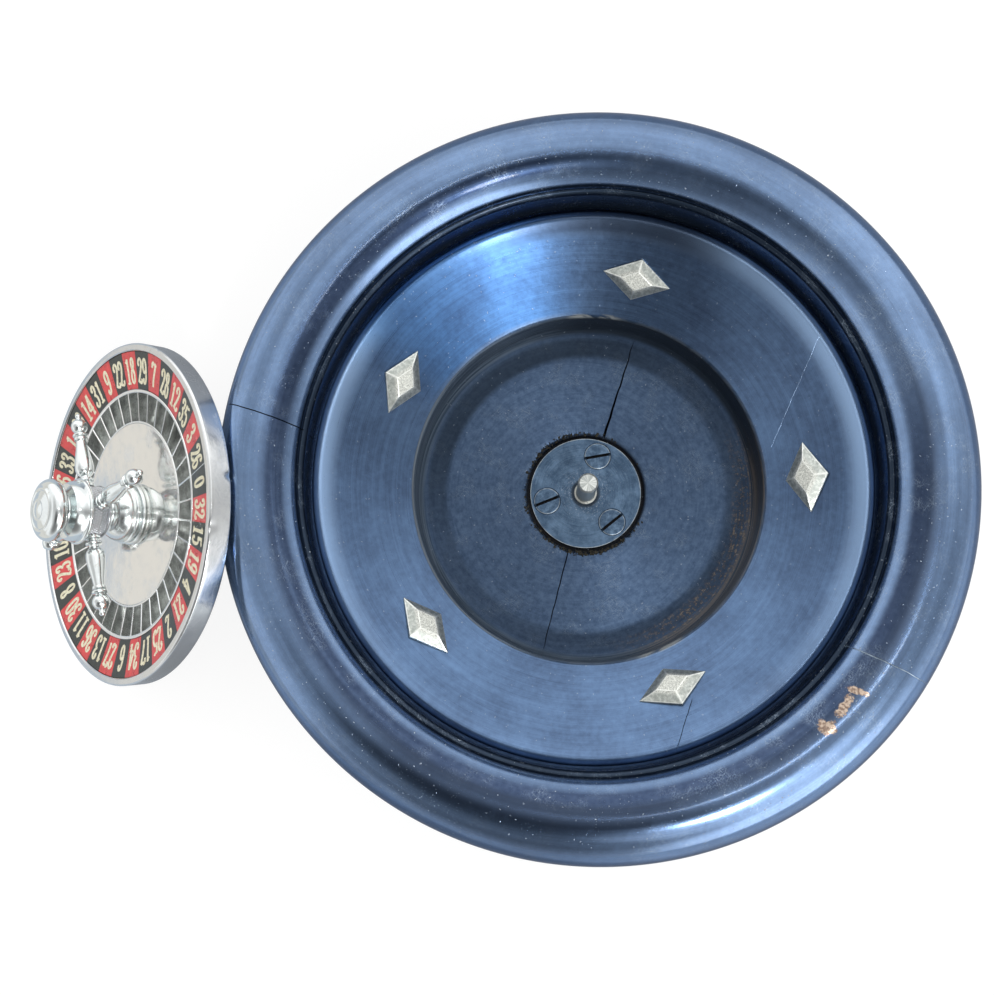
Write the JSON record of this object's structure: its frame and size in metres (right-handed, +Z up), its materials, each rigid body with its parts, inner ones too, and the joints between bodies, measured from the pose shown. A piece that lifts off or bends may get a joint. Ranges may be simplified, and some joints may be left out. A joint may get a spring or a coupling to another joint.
{
  "type": "mini roulette wheel",
  "caption": "Small table roulette wheel: lacquered wooden bowl with deflectors and spindle, and a plated metal wheel head with numbered pockets and a turret, lifted off and leaning on the rim.",
  "frame": {"origin": "on the bowl's turning axis, in the plane of the felt that it stands on", "axes": "+Z up along the spindle; the head lies off the bowl at -X, and turns about +Y to its place"},
  "size_m": [0.3131, 0.23, 0.0755],
  "materials": {
    "lacquered_wood": "glossy black lacquer with fine turning marks and worn edges",
    "lacquered_rim": "glossy black lacquer with hairline cracks",
    "felt": "dark green felt",
    "plate_metal": "dark brushed metal",
    "screw_metal": "worn bright steel",
    "spindle_steel": "polished steel",
    "deflector_metal": "plated, with a stippled top",
    "bush_bronze": "machined",
    "pan_nickel": "polished nickel plate with scratches and dents",
    "ring_metal": "satin metal between the cells",
    "red_enamel": "worn dark red enamel",
    "dark_enamel": "worn dark grey enamel",
    "pocket_metal": "dull, grimy",
    "fret_metal": "bright plated",
    "dish_mirror": "mirror polish with hairline scratches",
    "turret_nickel": "polished nickel plate",
    "arm_nickel": "polished nickel plate",
    "nut_metal": "plain steel"
  },
  "bodies": {
    "bowl": {"bowl_body": "lacquered_wood", "rim_ring": "lacquered_rim", "base_felt": "felt", "bearing_plate": "plate_metal", "plate_screws": "screw_metal", "spindle_pin": "spindle_steel", "spindle_nut": "screw_metal", "deflector_1": "deflector_metal", "deflector_2": "deflector_metal", "deflector_3": "deflector_metal", "deflector_4": "deflector_metal", "deflector_5": "deflector_metal"},
    "bearing_ball": {"thrust_ball": "spindle_steel"},
    "bearing_bush": {"spindle_bush": "bush_bronze"},
    "wheel_head": {"head_pan": "pan_nickel", "number_ring": "ring_metal", "red_cells": "red_enamel", "black_cells": "dark_enamel", "pocket_floor": "pocket_metal", "fret_ring": "fret_metal", "dish_plate": "dish_mirror", "turret_base": "turret_nickel", "turret_collar": "turret_nickel", "thrust_plate": "spindle_steel", "turret_cup": "turret_nickel", "turret_knob": "turret_nickel", "turret_stud": "nut_metal", "arm_1": "arm_nickel", "arm_2": "arm_nickel", "arm_3": "arm_nickel", "arm_4": "arm_nickel", "hub_washer": "nut_metal", "hub_nut": "nut_metal"}
  },
  "joints": [
    {"name": "head_carry", "type": "hinge", "parent": "bowl", "child": "bearing_ball", "pos_m": [-0.08086, 0, 0.03953], "axis": [0, 1, 0], "range_deg": [0, 173.55]},
    {"name": "head_level", "type": "hinge", "parent": "bearing_ball", "child": "bearing_bush", "pos_m": [-0.16121, 0, 0.04861], "axis": [0, 1, 0], "range_deg": [-134.69, 0]},
    {"name": "head_spin", "type": "hinge", "parent": "bearing_bush", "child": "wheel_head", "pos_m": [-0.15429, 0, 0.04002], "axis": [-0.6274, 0, 0.7787], "continuous": true}
  ],
  "couplings": [
    {"joint": "head_level", "follows": "head_carry", "ratio": -0.77608}
  ]
}
